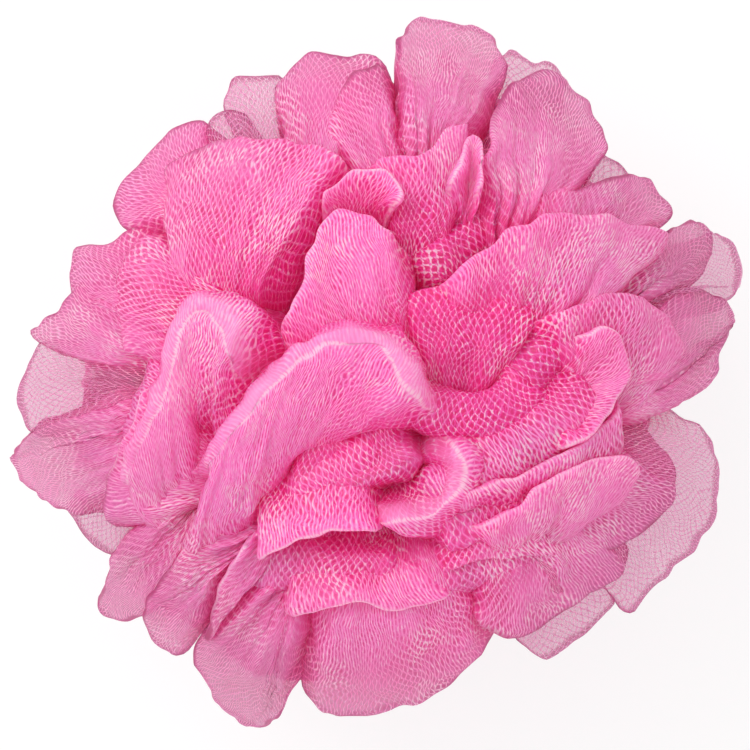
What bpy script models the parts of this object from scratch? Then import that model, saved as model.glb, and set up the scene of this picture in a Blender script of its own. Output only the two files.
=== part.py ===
"""Mesh bath pouf: one long tube of plastic netting, folded into ruffles and bound round the middle by a cord.

The origin is on the surface the pouf lies on, under the middle of the ball. +Z is up, +X right and +Y away.
"""

import math
import random

import bmesh
import bpy
from mathutils import Matrix, Vector

MM = 0.001

# The ball
BALL_RADIUS = 0.0735
BALL_RISE = 0.058
CORE_HEIGHT = 0.052
CORE_RADIUS = 0.052
CORE_RISE = 0.041

# The ruffles' netting tube
RIM_THICKNESS = 0.0026
TUBE_PUFF = 0.0075
END_DIVE = 0.007
RIM_STEP = 0.0045
WALL_ROWS = 9
ROOT_SHARE = 0.16

# How much of its dip a wall keeps: most within one distance (mm) of the middle, little past the other
DEEP_SHARE = 0.8
DEEP_WITHIN = 24
SHALLOW_SHARE = 0.13
SHALLOW_PAST = 44

# The broad folds' roundness: how thick their leaf is beside their breadth, and how far in their middles lie
BROAD_THICKNESS_SHARE = 1.5
BROAD_MIDDLE_SHARE = 0.95

# The ruffles of the sides and the underside
SIDE_RUFFLES = 38
SIDE_SEED = 7
SIDE_RADIUS = 0.060
SIDE_INSET = 0.0055
OUTLINE_BEARINGS = 72
SIDE_RIM_THICKNESS = 0.0045
SIDE_HALF_WIDTH = 0.032
SIDE_REACH = 0.024
SIDE_SINK = 0.014
SIDE_UNEVEN = 0.003
SIDE_END_SINK = 0.009
SIDE_TOP_HEIGHT = 0.080

# The gathered waist and its cord tie
WAIST_RADIUS = 0.0060
BUNCH_RADIUS = 0.0085
BUNCH_LENGTH = 0.0120
TIE_HEIGHT = 0.030
TIE_CORD = 0.0024
TIE_TURNS = 3
TIE_GAP = 0.0003
KNOT_RADIUS = 0.0028
ROOM_ROUND_TIE = 0.0042

# The faceting of the netting's solid
SHELL_VOXEL = 0.0012
SHELL_SMOOTHING = 3
NETTING_TRIANGLES = 10200
COARSE_BELOW = 0.048
FINE_ABOVE = 0.070
FINE_SHARE = 0.82

# The radius of the ball, in millimetres, on which the ruffles below are drawn
DRAWN_RADIUS = 73.5

# Each ruffle seen from above: its name, how far its rim stands above the ball (mm), how far its wall dips
# below the ball halfway in (mm), the points of its rim, and the points halfway down its wall (x, y in mm).
TOP_RUFFLES = (
    ("left_arch", 4, 9,
     ((-40, -12), (-39.5, 0), (-38.5, 8), (-36, 12.5), (-33, 13), (-31, 10), (-30, 5), (-29, 0.5),
      (-25, -0.8), (-21, -4)),
     ((-50, -30), (-45, -28), (-38, -24), (-30, -20))),
    ("arch_band", 3, 2,
     ((-36, 13.3), (-31.5, 12), (-30, 8), (-29, 3), (-27.5, 0.3), (-24.5, -0.8), (-21, -4)),
     ((-31, 14.5), (-26, 14.5), (-21, 11), (-18, 6), (-14, 2))),
    ("middle_crest", 6, 8,
     ((-36, -27), (-33, -19), (-28, -12), (-21, -4), (-17, 0.5), (-13, 4), (-8, 5), (-3, 4.3), (1, 2),
      (4, -2), (7, -6), (11, -10), (15, -14)),
     ((-43, -40), (-34, -34), (-25, -27), (-15, -17), (-5, -12), (4, -14))),
    ("middle_column", 3, 7,
     ((-21, 3), (-17, 12), (-14, 19), (-12, 26), (-9, 30.5), (-5.5, 32.3), (-2, 31), (1, 29), (5, 27),
      (11, 24.5)),
     ((-18, -2), (-10, 1), (-2, 3), (5, 6), (9, 13))),
    ("small_pocket", 3, 16,
     ((-12, 30), (-10, 35), (-6, 38.8), (-1, 39.8), (3, 38.8), (5, 36.5), (3.5, 33), (0.5, 30)),
     ((-9, 27), (-4, 27), (1, 27))),
    ("upper_middle", 2, 10,
     ((-5, 40), (0, 41.6), (5, 42.2), (9, 42.6), (12, 45), (15, 48), (19, 48.8), (22.5, 47.5)),
     ((1, 30), (6, 28), (12, 27), (17, 30))),
    ("narrow_loop", 4, 14,
     ((14.5, 33), (16, 40), (17, 44), (18.6, 46.3), (20.2, 45), (21, 42), (20.3, 37), (19, 31)),
     ((15, 30), (17, 28), (19, 28))),
    ("top", 0, 12,
     ((4.6, 58), (4.8, 66), (6.5, 69.5), (9.5, 70.6), (13, 69.9), (16, 68.8), (19, 69.1), (22, 68.1),
      (24.3, 65), (25.5, 60), (24, 53)),
     ((3, 46), (8, 45), (15, 47), (20, 48))),
    ("top_left_round", 0, 11,
     ((-9.5, 43), (-8.8, 50), (-7, 55), (-3, 59.3), (1, 60.7), (6, 60)),
     ((-6, 40), (0, 41), (6, 43))),
    ("top_left_outer", -2, 14,
     ((-21, 51), (-17.5, 58.7), (-13, 62.8), (-8, 62.8), (-3, 63.1), (1, 62), (6, 64)),
     ((-20, 44), (-12, 44), (-4, 46))),
    ("top_left_corner", -4, 16,
     ((-28.5, 48), (-29.2, 54), (-28, 57.3), (-24, 58.8), (-20, 58.9), (-14, 58)),
     ((-26, 42), (-18, 42))),
    ("shoulder_tab", -3, 14,
     ((-34, 45), (-31.8, 50.3), (-29, 51.9), (-23, 51)),
     ((-30, 40), (-24, 41))),
    ("long_shoulder", 0.5, 7,
     ((-46, 33), (-42, 39), (-36, 43.5), (-28, 46), (-20, 45.8), (-12, 44.8), (-8, 42.5), (-5.3, 39.5),
      (-7, 34)),
     ((-42, 22), (-34, 18), (-26, 16), (-17, 20))),
    ("upper_left_outer", -2, 12,
     ((-45, 25), (-49.5, 28.5), (-51.3, 33), (-50, 36.5), (-46.5, 41), (-42.5, 45.5), (-38, 48.5), (-33, 49.8),
      (-28, 47)),
     ((-41, 28), (-37, 35), (-31, 39))),
    ("left_upper", -3, 12,
     ((-57, 10), (-59.3, 17), (-59.7, 22), (-58.8, 25.5), (-55, 25.5), (-51, 26.7), (-47, 28.8), (-41, 31)),
     ((-50, 8), (-46, 16), (-39, 23))),
    ("left_shoulder", -1, 8,
     ((-46, -2), (-48.5, 5), (-50.3, 11), (-51, 17), (-49.5, 22.5), (-45, 27), (-38, 30)),
     ((-39, -2), (-37, 7), (-31, 13), (-24, 17))),
    ("left_tab", -2, 13,
     ((-65, 3), (-67.6, 8.3), (-65, 10.4), (-62, 13), (-59, 16.4), (-55, 18.5), (-50, 18)),
     ((-56, 1), (-51, 6), (-46, 11))),
    ("left_lobe", -3, 14,
     ((-62, 9), (-66.6, 5), (-69, 0.5), (-70.2, -4), (-69.6, -8), (-68, -11), (-62, -14)),
     ((-54, 5), (-53, -3), (-54, -9))),
    ("left_point", -1, 11,
     ((-63, -6), (-68.5, -11), (-70.5, -14), (-72.2, -17), (-70.2, -20.5), (-66.5, -23.7), (-62, -25.7),
      (-56, -28), (-49, -31)),
     ((-53, -3), (-50, -10), (-48, -17), (-45, -23))),
    ("left_skirt", -6, 16,
     ((-63, -22), (-60.3, -27.5), (-57.7, -31), (-54, -34), (-50.5, -35.5), (-44, -34)),
     ((-52, -18), (-46, -23))),
    ("lower_left_point", -2, 12,
     ((-49, -28), (-51.4, -36), (-53.2, -41), (-54.6, -45), (-53.4, -47.5), (-50, -48.1), (-45.5, -48),
      (-40, -46)),
     ((-43, -25), (-40, -30), (-35, -33))),
    ("left_ridge", 2, 9,
     ((-39.5, 1), (-42, -4.5), (-45, -10), (-47.5, -16), (-49.6, -22), (-50.2, -27), (-49, -33)),
     ((-36, -6), (-36, -14), (-38, -22), (-40, -30))),
    ("lower_left_lobe", 0, 10,
     ((-24, -27), (-32, -30.5), (-37, -34), (-41, -38.5), (-43.7, -43), (-45.4, -48), (-44.5, -52),
      (-41, -54.8), (-37.5, -54.8), (-34, -51)),
     ((-22, -27), (-27, -33), (-30, -38), (-30, -42))),
    ("bottom_drape", 1, 9,
     ((-20, -30), (-25.5, -34), (-29, -39), (-30.8, -44), (-32, -49), (-35, -53.5), (-37, -54)),
     ((-16, -24), (-20, -31), (-23, -38))),
    ("bottom_point", -2, 11,
     ((-28, -46), (-34.5, -51.5), (-35.7, -56), (-33.7, -61), (-30, -66.5), (-26.5, -69.7), (-24, -70.4),
      (-20, -68.1), (-16, -65.5), (-11, -66)),
     ((-25, -42), (-22, -47), (-18, -48), (-12, -44))),
    ("bottom_apron", -3, 10,
     ((-19, -63), (-15, -65.6), (-11, -66.4), (-5, -67.1), (1, -66.5), (7, -64.9), (12, -62.2), (16, -59.7),
      (20, -56), (24, -53), (29, -50)),
     ((-14, -45), (-2, -44), (9, -43), (20, -40))),
    ("bottom_lip", 2, 17,
     ((-22, -43), (-18, -47), (-14, -46.2), (-9, -45.2), (-4, -44.6), (2, -45.2), (8, -45), (14, -43),
      (21, -41)),
     ((-20, -33), (-10, -31), (0, -32), (11, -34))),
    ("second_lip", 3, 9,
     ((-26, -39), (-20, -34.5), (-15, -31.8), (-10, -30.3), (-5, -30), (-1, -30.2), (5, -31.5)),
     ((-24, -24), (-16, -19), (-8, -17), (2, -21))),
    ("curled_lip", 3, 14,
     ((-8, -22), (0, -20.3), (7, -18), (12, -15.5), (15.5, -16.2), (17.5, -18.3), (17.2, -21), (15, -24),
      (11, -26.2), (5, -28.5)),
     ((-6, -25), (0, -24.5), (6, -24), (6, -26))),
    ("middle_fold", 1, 10,
     ((-20, -20), (-14, -15), (-9, -11.5), (-4, -9.5), (2, -11), (7, -14), (13, -15)),
     ((-16, -24), (-7, -20), (2, -19), (8, -19))),
    ("bowl_face", -4, 8,
     ((3, 9), (8, 13), (14, 13.5), (22, 12), (29, 10), (34, 8)),
     ((6, 3), (14, 1), (22, 0), (29, 2))),
    ("right_wing", 2, 9,
     ((8, 11), (13, 17.5), (18, 22), (23, 25.8), (28, 29), (33, 30.8), (38, 31.5), (44, 31), (50, 29.8),
      (55, 28), (58, 27), (58, 23.5), (56, 18)),
     ((12, 6), (21, 10), (31, 12), (41, 14), (49, 15))),
    ("right_upper", 0, 12,
     ((26, 29), (29, 34.5), (33, 36), (39, 36.3), (44, 38), (49, 39.5), (53, 38.7), (56.4, 36), (58, 32.8),
      (57, 29.5), (53, 27)),
     ((28, 26), (36, 27), (44, 26), (50, 26))),
    ("upper_right_oval", 2, 10,
     ((19, 29), (21, 38), (22.5, 46), (24, 52), (27, 57), (31, 59.5), (35, 59.2), (39, 56.7), (42, 53.2),
      (44.5, 48), (45.2, 44), (44, 40), (39, 36)),
     ((20, 26), (27, 32), (34, 33), (40, 33))),
    ("upper_right_back", -4, 15,
     ((23, 60), (26, 64.2), (30, 63), (31.5, 61.7), (34, 62), (36, 60.2), (37.4, 57.5), (40, 53)),
     ((24, 50), (31, 50), (36, 46))),
    ("right_notch", -3, 14,
     ((42, 45), (46, 42.3), (49, 40.3), (53, 37)),
     ((39, 36), (44, 33))),
    ("far_right_net", -2, 13,
     ((53, 23), (57.5, 27.7), (60, 29.6), (62.5, 30.3), (65, 29.8), (66.6, 27), (66.2, 23.5), (64.5, 19.5),
      (60, 16)),
     ((50, 20), (54, 17), (55, 14))),
    ("far_right_lobe", -5, 15,
     ((61, 26), (66.5, 28.2), (69.5, 28), (72, 25), (73.2, 20.8), (72.4, 17.5), (70, 14.3), (64, 11)),
     ((57, 21), (57, 16), (58, 11))),
    ("right_point", -1, 11,
     ((52, 12), (58, 16), (62, 17), (66, 16.4), (69, 14.4), (71.6, 11.2), (69.7, 8.5), (68, 4.5), (67, 0),
      (65.5, -4), (63, -10)),
     ((48, 7), (50, 1), (51, -5), (51, -11))),
    ("lower_right_net", -3, 12,
     ((62, -4), (65.5, -10), (67, -14.5), (67.6, -20), (67.4, -25), (65.9, -30), (62.2, -34.5), (57.7, -38.7),
      (53.7, -42.7), (50.6, -46.3), (45, -43)),
     ((54, -8), (54, -16), (51, -23), (46, -29), (40, -33))),
    ("bottom_right_tab", -5, 15,
     ((25, -48), (30, -53.7), (33, -55.7), (36.5, -54.3), (41, -50.3), (45, -46.9), (46.7, -44), (43, -39)),
     ((26, -40), (32, -38), (37, -34))),
    ("right_curl", 3, 13,
     ((37, 1), (40, 6.5), (43, 9.2), (46.5, 9), (49, 5.3), (49.4, 0.5), (47.5, -4.5), (44, -9), (38, -13.5),
      (30, -17.5)),
     ((35, -3), (38, 1), (41, -2), (38, -7), (30, -12))),
    ("right_band", 1, 10,
     ((28, 8), (33, 11.6), (39, 14.2), (45, 15.9), (50, 15.8), (55, 13.5), (58.5, 9.5), (60.5, 4), (60, -3)),
     ((32, 4), (40, 4), (47, 2), (52, -3), (53, -9))),
    ("long_fold", 2, 10,
     ((6, -27.5), (15, -24), (22, -21), (30, -18.3), (38, -14), (45, -9), (49, -4), (51, 2)),
     ((10, -31), (20, -27), (31, -24), (42, -19), (52, -13))),
    ("striped_fold", 3, 10,
     ((12, -34), (22, -28), (30, -23.5), (37, -19), (43, -16), (48, -15.5), (51.5, -18), (51, -23), (48, -29)),
     ((20, -36), (30, -33), (38, -31), (42, -31))),
    ("lower_right_fold", 0, 10,
     ((2, -41), (11, -38.5), (20, -36.5), (29, -35.5), (38, -35), (46, -34), (53, -30), (58, -25), (60.5, -18),
      (60, -9)),
     ((6, -34), (18, -30), (30, -28), (42, -25), (50, -18), (53, -10))),
    ("lower_right_skirt", -1, 12,
     ((14, -43), (21, -48.5), (28, -51.7), (34, -48.3), (40, -44), (46, -40.5), (51, -35), (54, -29)),
     ((17, -35), (25, -33), (34, -30), (42, -27))),
)

# The broad, rounded folds that swell between those ruffles: name, lift (mm), dip (mm), how far the fold
# bulges either side of its ridge (mm), and the points of its ridge (x, y in mm).
BROAD_FOLDS = (
    ("bowl_front", -1, 14, 5.5, ((-1, 3), (4, -2), (10, -6.5), (17, -8.5), (24, -7), (30, -2), (34, 4.5))),
    ("tongue", 0, 14, 5.5, ((4, -29), (14, -22), (23, -17.5), (31, -12.5), (38, -6.5), (43, 0), (46, 5))),
    ("second_tongue", 0, 14, 4.5,
     ((6, -33), (16, -29.5), (26, -26), (36, -21.5), (43, -18), (48, -17.5))),
    ("third_tongue", -1, 14, 5, ((4, -40), (15, -38.5), (26, -35), (37, -31.5), (46, -26.5), (53, -19))),
    ("left_body", -1, 14, 6, ((-47, -22), (-44, -12), (-40, -2), (-37, 6))),
    ("hollow_fold", -2, 14, 5, ((-24, -30), (-17, -25), (-9, -19), (-1, -15), (6, -12))),
    ("lower_fold", -2, 14, 5, ((-30, -36), (-20, -37), (-10, -37), (0, -37.5), (10, -36))),
)


def smooth_curve(points, count):
    """count points, evenly spread along a smooth curve through the given ones."""
    ends = [points[0] * 2 - points[1], *points, points[-1] * 2 - points[-2]]
    dense = []
    for before, start, end, after in zip(ends, ends[1:], ends[2:], ends[3:]):
        for step in range(8):
            t = step / 8
            dense.append(
                (start * 2 + (end - before) * t + (before * 2 - start * 5 + end * 4 - after) * t**2
                 + (start * 3 - before - end * 3 + after) * t**3) / 2
            )
    dense.append(points[-1].copy())
    reach = [0.0]
    for start, end in zip(dense, dense[1:]):
        reach.append(reach[-1] + (end - start).length)
    spread = []
    place = 0
    for step in range(count):
        wanted = reach[-1] * step / (count - 1)
        while place < len(reach) - 2 and reach[place + 1] < wanted:
            place += 1
        share = (wanted - reach[place]) / (reach[place + 1] - reach[place])
        spread.append(dense[place].lerp(dense[place + 1], share))
    return spread


def on_ball(x, y, above):
    """The point over x, y (mm, as drawn) that lies above mm higher than the top of the ball."""
    scale = BALL_RADIUS / DRAWN_RADIUS
    inward = max(0.0, 1 - (x * x + y * y) / DRAWN_RADIUS**2)
    return Vector((x * scale, y * scale, CORE_HEIGHT + BALL_RISE * math.sqrt(inward) + above * MM))


def wall_share(x, y):
    """The share of its dip that a wall keeps over x, y (mm, as drawn)."""
    past = (math.hypot(x, y) - DEEP_WITHIN) / (SHALLOW_PAST - DEEP_WITHIN)
    return DEEP_SHARE + (SHALLOW_SHARE - DEEP_SHARE) * min(1.0, max(0.0, past))


def core():
    return Vector((0, 0, CORE_HEIGHT))


def arch(share):
    """0 at both ends of a rim, 1 along its middle."""
    return min(1.0, math.sin(math.pi * share) * 1.7)


def ruffle_walls(rim, middle):
    """The two walls of one ruffle: for each point along the rim, its outer and inner line down to the core."""
    length = sum((end - start).length for start, end in zip(rim, rim[1:]))
    count = max(6, round(length / RIM_STEP) + 1)
    rim = smooth_curve(rim, count)
    middle = smooth_curve(middle, count)
    outer, inner = [], []
    for place, (edge, halfway) in enumerate(zip(rim, middle)):
        open_share = arch(place / (count - 1))
        edge = edge - Vector((0, 0, END_DIVE)) * (1 - open_share)
        to_core = (core() - halfway).normalized()
        outer.append((edge, halfway))
        inner.append((edge, halfway + to_core * TUBE_PUFF * (0.4 + 0.6 * open_share)))
    return outer, inner


def wall_line(edge, halfway):
    """Points from a rim down one wall of the tube, through halfway, to the gathers at the core."""
    root = core() + (halfway - core()) * ROOT_SHARE
    control = halfway * 2 - (edge + root) / 2
    line = []
    for row in range(WALL_ROWS):
        t = row / (WALL_ROWS - 1)
        line.append(edge * (1 - t) ** 2 + control * 2 * t * (1 - t) + root * t**2)
    return line


def add_ruffle(mesh, rim, middle, thickness):
    """Adds one ruffle to the mesh as a closed leaf: two walls, folded together along the rim."""
    outer, inner = ruffle_walls(rim, middle)
    sheets = []
    for walls, side in ((outer, 1), (inner, -1)):
        lines = [wall_line(edge, halfway) for edge, halfway in walls]
        sheets.append([[mesh.verts.new(point) for point in line] for line in lines])
        half = thickness / 2 * side
        for column, line in enumerate(sheets[-1]):
            before = lines[max(0, column - 1)]
            after = lines[min(len(lines) - 1, column + 1)]
            for row, vert in enumerate(line):
                along = after[row] - before[row]
                down = lines[column][min(WALL_ROWS - 1, row + 1)] - lines[column][max(0, row - 1)]
                out = along.cross(down).normalized()
                if out.dot(lines[column][WALL_ROWS // 2] - core()) < 0:
                    out.negate()
                vert.co += out * half
    front, back = sheets
    last = WALL_ROWS - 1
    for here, there, back_here, back_there in zip(front, front[1:], back, back[1:]):
        for row in range(last):
            mesh.faces.new((here[row], here[row + 1], there[row + 1], there[row]))
            mesh.faces.new((back_here[row], back_there[row], back_there[row + 1], back_here[row + 1]))
        mesh.faces.new((here[0], there[0], back_there[0], back_here[0]))
        mesh.faces.new((here[last], back_here[last], back_there[last], there[last]))
    for row in range(last):
        mesh.faces.new((front[0][row], back[0][row], back[0][row + 1], front[0][row + 1]))
        mesh.faces.new((front[-1][row], front[-1][row + 1], back[-1][row + 1], back[-1][row]))


def top_outline():
    """How far the top's ruffles reach out from the middle at each bearing."""
    reach = [0.0] * OUTLINE_BEARINGS
    for _, lift, _, rim, _ in TOP_RUFFLES:
        for point in smooth_curve([on_ball(x, y, lift) for x, y in rim], 60):
            bearing = round(math.atan2(point.y, point.x) / math.tau * OUTLINE_BEARINGS) % OUTLINE_BEARINGS
            reach[bearing] = max(reach[bearing], point.xy.length)
    return [min(reach[bearing - 1], reach[bearing], reach[bearing + 1 - OUTLINE_BEARINGS]) for bearing in
            range(OUTLINE_BEARINGS)]


def reach_towards(outline, way):
    """The outline's reach in the direction of way, between its bearings."""
    bearing = math.atan2(way.y, way.x) / math.tau * OUTLINE_BEARINGS
    before = math.floor(bearing)
    share = bearing - before
    return outline[before % OUTLINE_BEARINGS] * (1 - share) + outline[(before + 1) % OUTLINE_BEARINGS] * share


def side_ruffles():
    """The rims and middles of the ruffles that cover the sides and the underside, turned every way."""
    draw = random.Random(SIDE_SEED)
    outline = top_outline()
    lowest, highest = -0.97, (SIDE_TOP_HEIGHT - CORE_HEIGHT) / BALL_RISE
    golden = math.pi * (3 - math.sqrt(5))
    for number in range(SIDE_RUFFLES):
        rise = lowest + (highest - lowest) * (number + 0.5) / SIDE_RUFFLES
        level = math.sqrt(1 - rise * rise)
        facing = Vector((level * math.cos(golden * number), level * math.sin(golden * number), rise))
        turned = facing.orthogonal().normalized()
        turned.rotate(Matrix.Rotation(draw.uniform(0, math.tau), 3, facing))
        across = facing.cross(turned)
        width = SIDE_HALF_WIDTH * draw.uniform(0.8, 1.2)
        reach = SIDE_REACH * draw.uniform(0.8, 1.25)
        sway = draw.uniform(-0.006, 0.006)
        pulled_in = SIDE_UNEVEN * draw.random()

        def place(along, up, sink):
            way = (facing * SIDE_RADIUS + turned * along + across * up).normalized()
            wide = reach_towards(outline, way) - SIDE_INSET
            return core() + Vector((way.x * wide, way.y * wide, way.z * BALL_RISE)) * (1 - sink / wide)

        rim = [
            place(
                width * share, reach * (1 - share * share) + sway * math.sin(share * math.pi * 1.5),
                pulled_in + SIDE_END_SINK * share**4,
            )
            for share in (-1, -0.72, -0.4, 0, 0.4, 0.72, 1)
        ]
        middle = [place(width * share * 0.75, -reach * 0.55, SIDE_SINK) for share in (-1, 0, 1)]
        yield rim, middle


def new_object(name, mesh):
    """An object in the scene from a finished bmesh."""
    data = bpy.data.meshes.new(name)
    bmesh.ops.recalc_face_normals(mesh, faces=mesh.faces)
    mesh.to_mesh(data)
    mesh.free()
    made = bpy.data.objects.new(name, data)
    bpy.context.scene.collection.objects.link(made)
    return made


def freeze(made):
    """Replaces the object's mesh by what its modifiers make of it."""
    bpy.context.view_layer.update()
    graph = bpy.context.evaluated_depsgraph_get()
    frozen = bpy.data.meshes.new_from_object(made.evaluated_get(graph))
    made.modifiers.clear()
    made.data = frozen


def turned_solid(name, profile, segments):
    """A closed solid turned about +Z from (radius, height) points, top to bottom; radius 0 closes it."""
    mesh = bmesh.new()
    verts = [mesh.verts.new((radius, 0, height)) for radius, height in profile]
    edges = [mesh.edges.new(pair) for pair in zip(verts, verts[1:])]
    if profile[0][0] > 0:
        edges.append(mesh.edges.new((verts[-1], verts[0])))
    bmesh.ops.spin(
        mesh, geom=verts + edges, cent=(0, 0, 0), axis=(0, 0, 1), angle=math.tau, steps=segments,
        use_merge=True,
    )
    bmesh.ops.remove_doubles(mesh, verts=mesh.verts, dist=MM / 100)
    return new_object(name, mesh)


def boolean(made, other, operation):
    """Joins other to the object, or cuts it away, and removes other."""
    modifier = made.modifiers.new(operation.title(), "BOOLEAN")
    modifier.operation = operation
    modifier.object = other
    freeze(made)
    bpy.data.objects.remove(other)


def keep_largest_shell(made):
    """Drops the closed-in pockets between ruffles, and any scrap that isn't joined to the rest."""
    mesh = bmesh.new()
    mesh.from_mesh(made.data)
    shells = []
    left = set(mesh.verts)
    while left:
        shell = set()
        edge = [left.pop()]
        while edge:
            vert = edge.pop()
            shell.add(vert)
            for link in vert.link_edges:
                other = link.other_vert(vert)
                if other in left:
                    left.remove(other)
                    edge.append(other)
        shells.append(shell)
    shells.sort(key=len)
    for shell in shells[:-1]:
        bmesh.ops.delete(mesh, geom=list(shell), context="VERTS")
    mesh.to_mesh(made.data)
    mesh.free()


def plain_material(name, colour, roughness):
    material = bpy.data.materials.new(name)
    material.use_nodes = True
    shader = material.node_tree.nodes["Principled BSDF"]
    shader.inputs["Base Color"].default_value = (*colour, 1)
    shader.inputs["Roughness"].default_value = roughness
    shader.inputs["Metallic"].default_value = 0
    return material


def facet(netting):
    """Thins the netting's mesh to broad facets, finer on the ruffles of the top than underneath."""
    coarse = netting.vertex_groups.new(name="coarse")
    for vert in netting.data.vertices:
        low = min(1.0, max(0.0, (FINE_ABOVE - vert.co.z) / (FINE_ABOVE - COARSE_BELOW)))
        coarse.add([vert.index], FINE_SHARE + (1 - FINE_SHARE) * low, "REPLACE")
    thinned = netting.modifiers.new("Facets", "DECIMATE")
    thinned.ratio = NETTING_TRIANGLES / (2 * len(netting.data.polygons))
    thinned.vertex_group = coarse.name
    freeze(netting)
    netting.vertex_groups.clear()


def make_netting():
    """The netting: every ruffle and the gathers at the core, joined as one folded piece."""
    mesh = bmesh.new()
    for _, lift, dip, rim, middle in TOP_RUFFLES:
        edge = [on_ball(x, y, lift) for x, y in rim]
        add_ruffle(mesh, edge, [on_ball(x, y, -dip * wall_share(x, y)) for x, y in middle], RIM_THICKNESS)
    for _, lift, dip, breadth, ridge in BROAD_FOLDS:
        edge = [on_ball(x, y, lift) for x, y in ridge]
        inward = [on_ball(x * BROAD_MIDDLE_SHARE, y * BROAD_MIDDLE_SHARE, -dip) for x, y in ridge]
        add_ruffle(mesh, edge, inward, breadth * MM * BROAD_THICKNESS_SHARE)
    for rim, middle in side_ruffles():
        add_ruffle(mesh, rim, middle, SIDE_RIM_THICKNESS)
    gathers = Matrix.Translation(core()) @ Matrix.Diagonal((CORE_RADIUS, CORE_RADIUS, CORE_RISE, 1))
    bmesh.ops.create_icosphere(mesh, subdivisions=4, radius=1, matrix=gathers)
    netting = new_object("netting", mesh)
    joined = netting.modifiers.new("Join ruffles", "REMESH")
    joined.mode = "VOXEL"
    joined.voxel_size = SHELL_VOXEL
    freeze(netting)
    keep_largest_shell(netting)
    softened = netting.modifiers.new("Soften", "SMOOTH")
    softened.iterations = SHELL_SMOOTHING
    freeze(netting)
    facet(netting)
    return netting


def press_on_floor(netting):
    """Cuts the underside flat where the pouf's own weight presses it against the surface it lies on."""
    mesh = bmesh.new()
    deep = BALL_RADIUS / 2
    wide = BALL_RADIUS * 3
    placed = Matrix.Translation((0, 0, -deep / 2)) @ Matrix.Diagonal((wide, wide, deep, 1))
    bmesh.ops.create_cube(mesh, size=1, matrix=placed)
    boolean(netting, new_object("floor", mesh), "DIFFERENCE")


def bind_waist(netting):
    """Opens the parting that leads up to the tie, and leaves the gathered waist and its bunched ends inside it."""
    tie_half = ((TIE_CORD + TIE_GAP) * TIE_TURNS + TIE_CORD) / 2
    room = WAIST_RADIUS + TIE_GAP + TIE_CORD + ROOM_ROUND_TIE
    parting = turned_solid(
        "parting",
        ((0, TIE_HEIGHT + tie_half + ROOM_ROUND_TIE), (room, TIE_HEIGHT + tie_half), (room, -BALL_RADIUS / 4),
         (0, -BALL_RADIUS / 4)),
        32,
    )
    boolean(netting, parting, "DIFFERENCE")
    bunch_top = TIE_HEIGHT - tie_half - TIE_GAP
    waist = turned_solid(
        "waist",
        ((0, CORE_HEIGHT), (WAIST_RADIUS, CORE_HEIGHT - WAIST_RADIUS), (WAIST_RADIUS, bunch_top),
         (BUNCH_RADIUS, bunch_top - BUNCH_LENGTH / 4), (BUNCH_RADIUS, bunch_top - BUNCH_LENGTH * 3 / 4),
         (BUNCH_RADIUS * 0.6, bunch_top - BUNCH_LENGTH), (0, bunch_top - BUNCH_LENGTH)),
        32,
    )
    boolean(netting, waist, "UNION")
    keep_largest_shell(netting)


def centre_on_origin(netting):
    """Moves the netting so that the origin is under the middle of its box."""
    corners = [vert.co for vert in netting.data.vertices]
    for axis in range(2):
        middle = (min(corner[axis] for corner in corners) + max(corner[axis] for corner in corners)) / 2
        netting.data.transform(Matrix.Translation([-middle if place == axis else 0 for place in range(3)]))


def sweep_cord(name, route, radius, sides):
    """A round cord of the given radius along the route, closed at both ends."""
    mesh = bmesh.new()
    rings = []
    for place, centre in enumerate(route):
        along = (route[min(place + 1, len(route) - 1)] - route[max(place - 1, 0)]).normalized()
        up = (Vector((0, 0, 1)) - along * along.z).normalized()
        side = along.cross(up)
        rings.append([
            mesh.verts.new(centre + (up * math.cos(angle) + side * math.sin(angle)) * radius)
            for angle in (math.tau * step / sides for step in range(sides))
        ])
    for ring, following in zip(rings, rings[1:]):
        for step in range(sides):
            turn = (step + 1) % sides
            mesh.faces.new((ring[step], ring[turn], following[turn], following[step]))
    mesh.faces.new(rings[0])
    mesh.faces.new(reversed(rings[-1]))
    return new_object(name, mesh)


def make_tie():
    """The tie: a cord wound round the waist and knotted."""
    radius = WAIST_RADIUS + TIE_GAP + TIE_CORD / 2
    pitch = TIE_CORD + TIE_GAP
    steps = 16 * TIE_TURNS
    route = []
    for step in range(steps + 1):
        angle = math.tau * TIE_TURNS * step / steps
        height = TIE_HEIGHT + pitch * TIE_TURNS * (step / steps - 0.5)
        route.append(Vector((radius * math.cos(angle), radius * math.sin(angle), height)))
    tie = sweep_cord("tie", route, TIE_CORD / 2, 8)
    knot_at = Matrix.Translation((WAIST_RADIUS + TIE_GAP + KNOT_RADIUS * 1.05, 0, TIE_HEIGHT))
    mesh = bmesh.new()
    bmesh.ops.create_icosphere(mesh, subdivisions=2, radius=KNOT_RADIUS, matrix=knot_at)
    boolean(tie, new_object("knot", mesh), "UNION")
    return tie


def clear_scene():
    for made in list(bpy.data.objects):
        bpy.data.objects.remove(made)


def main():
    clear_scene()
    netting = make_netting()
    press_on_floor(netting)
    centre_on_origin(netting)
    bind_waist(netting)
    netting.data.materials.append(plain_material("pink netting", (0.86, 0.16, 0.42), 0.45))
    tie = make_tie()
    tie.data.materials.clear()
    tie.data.materials.append(plain_material("pink cord", (0.90, 0.45, 0.62), 0.6))


main()
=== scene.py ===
"""The looks of a mesh bath pouf: a ball of pink netting ruffles, lying on a pale floor, seen from above."""

import math
import random

import bpy
from mathutils import Matrix, Vector, noise


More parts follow.
